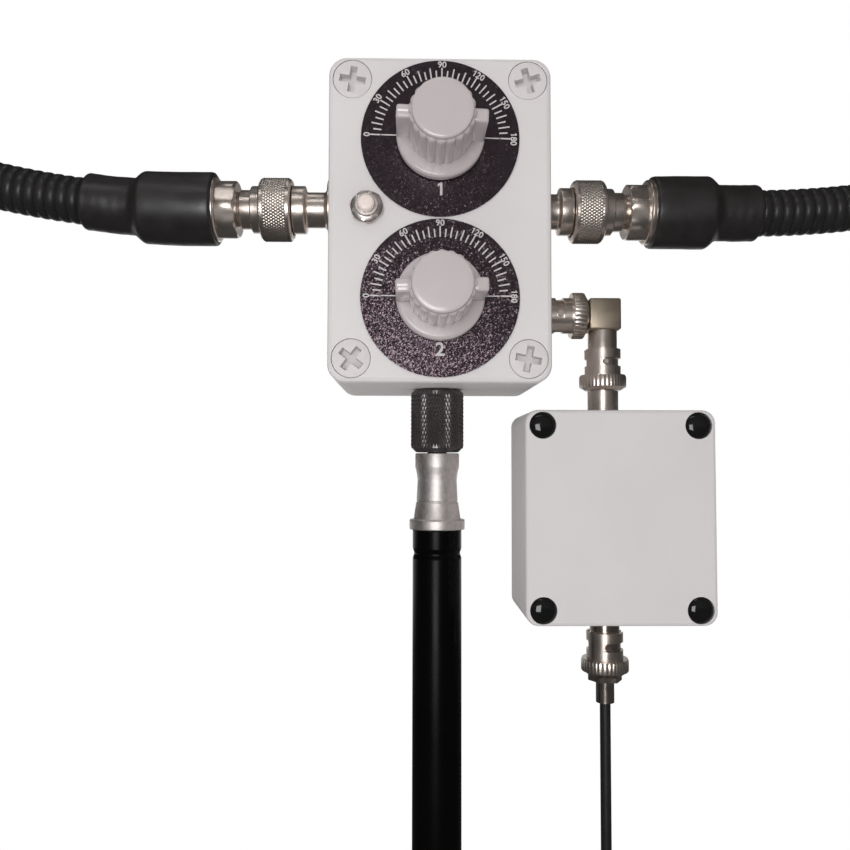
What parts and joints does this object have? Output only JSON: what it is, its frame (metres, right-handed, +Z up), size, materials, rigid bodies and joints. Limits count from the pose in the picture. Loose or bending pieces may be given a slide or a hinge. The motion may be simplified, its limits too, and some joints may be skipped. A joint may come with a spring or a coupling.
{
  "type": "radio loop antenna",
  "caption": "Hand-tuned radio loop antenna on a mast: grey tuner box with dial knobs, ring of corrugated cable, hanging choke box on a bayonet elbow and a feed lead.",
  "frame": {"origin": "centre of the mast tube's lower end", "axes": "+Z up the mast, the dials face -Y, +X to the right as seen from the front"},
  "size_m": [0.8069, 0.0729, 1.1157],
  "materials": {
    "shell": "fine matt moulded",
    "seal": "matt",
    "screw_plastic": "matt moulded",
    "dial": "black grained with white print",
    "plates": "satin",
    "knob": "satin",
    "steel": "plain",
    "nickel": "bright nickel plate",
    "button": "gloss",
    "switch": "plain",
    "shrink": "satin",
    "jacket": "satin",
    "copper": "plain copper",
    "ferrite": "matt",
    "coax": "satin",
    "cover": "gloss",
    "lead": "satin",
    "strap": "woven",
    "insert": "plain",
    "collar": "black anodised knurl",
    "bare": "turned",
    "tube": "gloss black"
  },
  "bodies": {
    "tuner": {"tuner_case": "shell", "tuner_lid": "shell", "lid_gasket": "seal", "lid_screws": "screw_plastic", "dial_plate_a": "dial", "dial_plate_b": "dial", "capacitor_a_frame": "plates", "capacitor_a_stator": "plates", "capacitor_b_frame": "plates", "capacitor_b_stator": "plates", "capacitor_nuts": "steel", "switch_body": "switch", "switch_nut": "nickel", "n_jack_left": "nickel", "n_jack_right": "nickel", "n_jack_nuts": "nickel", "n_plug_left": "nickel", "n_plug_right": "nickel", "heat_shrink_left": "shrink", "heat_shrink_right": "shrink", "loop_cable": "jacket", "loop_conductor": "copper", "coupling_core": "ferrite", "coupling_winding": "copper", "loop_straps": "copper", "bnc_panel_jack": "nickel", "bnc_panel_nut": "nickel", "mast_insert": "insert", "mast_adapter": "bare", "mast_tube": "tube"},
    "tune_a": {"knob_a": "knob", "knob_a_screw": "steel", "capacitor_a_rotor": "plates"},
    "tune_b": {"knob_b": "knob", "knob_b_screw": "steel", "capacitor_b_rotor": "plates"},
    "button": {"switch_button": "button"},
    "left_nut": {"coupling_nut_left": "nickel"},
    "right_nut": {"coupling_nut_right": "nickel"},
    "lock_collar": {"mast_collar": "collar"},
    "elbow_ring": {"elbow_sleeve": "nickel"},
    "elbow": {"elbow_body": "nickel"},
    "choke_ring": {"choke_sleeve": "nickel"},
    "choke": {"choke_case": "shell", "choke_lid": "shell", "choke_gasket": "seal", "choke_screws": "steel", "choke_plugs": "cover", "choke_core": "ferrite", "choke_winding": "coax", "choke_top_plug": "nickel", "choke_jack": "nickel", "choke_nuts": "nickel"},
    "feed_ring": {"feed_sleeve": "nickel"},
    "feed": {"feed_plug": "nickel", "feed_ferrule": "nickel", "feed_lead": "lead", "feed_coil": "lead", "feed_tie": "strap", "far_plug": "nickel"}
  },
  "joints": [
    {"name": "tune_a_turn", "type": "hinge", "parent": "tuner", "child": "tune_a", "pos_m": [0, 0, 0.4222], "axis": [0, 1, 0], "range_deg": [0, 180]},
    {"name": "tune_b_turn", "type": "hinge", "parent": "tuner", "child": "tune_b", "pos_m": [0, 0, 0.3734], "axis": [0, 1, 0], "range_deg": [0, 180]},
    {"name": "button_press", "type": "slide", "parent": "tuner", "child": "button", "axis": [0, 1, 0], "range_m": [0, 0.0016], "stiffness_N_per_m": 1200},
    {"name": "left_nut_turn", "type": "hinge", "parent": "tuner", "child": "left_nut", "pos_m": [-0.053, 0, 0.4076], "axis": [-1, 0, 0], "continuous": true},
    {"name": "right_nut_turn", "type": "hinge", "parent": "tuner", "child": "right_nut", "pos_m": [0.05, 0, 0.4076], "axis": [1, 0, 0], "continuous": true},
    {"name": "lock_collar_turn", "type": "hinge", "parent": "tuner", "child": "lock_collar", "pos_m": [0, 0, 0.337], "axis": [0, 0, 1], "continuous": true},
    {"name": "elbow_ring_turn", "type": "hinge", "parent": "tuner", "child": "elbow_ring", "pos_m": [0.044, 0, 0.3726], "axis": [1, 0, 0], "range_deg": [0, 90]},
    {"name": "elbow_swing", "type": "hinge", "parent": "tuner", "child": "elbow", "pos_m": [0.044, 0, 0.3726], "axis": [1, 0, 0], "range_deg": [-15, 15]},
    {"name": "choke_ring_turn", "type": "hinge", "parent": "elbow", "child": "choke_ring", "pos_m": [0.0549, 0, 0.3527], "axis": [0, 0, -1], "range_deg": [0, 90]},
    {"name": "choke_swivel", "type": "hinge", "parent": "elbow", "child": "choke", "pos_m": [0.0549, 0, 0.3527], "axis": [0, 0, 1], "continuous": true},
    {"name": "feed_ring_turn", "type": "hinge", "parent": "choke", "child": "feed_ring", "pos_m": [0.0549, 0, 0.2602], "axis": [0, 0, -1], "range_deg": [0, 90]},
    {"name": "feed_swivel", "type": "hinge", "parent": "choke", "child": "feed", "pos_m": [0.0549, 0, 0.2602], "axis": [0, 0, 1], "continuous": true}
  ]
}
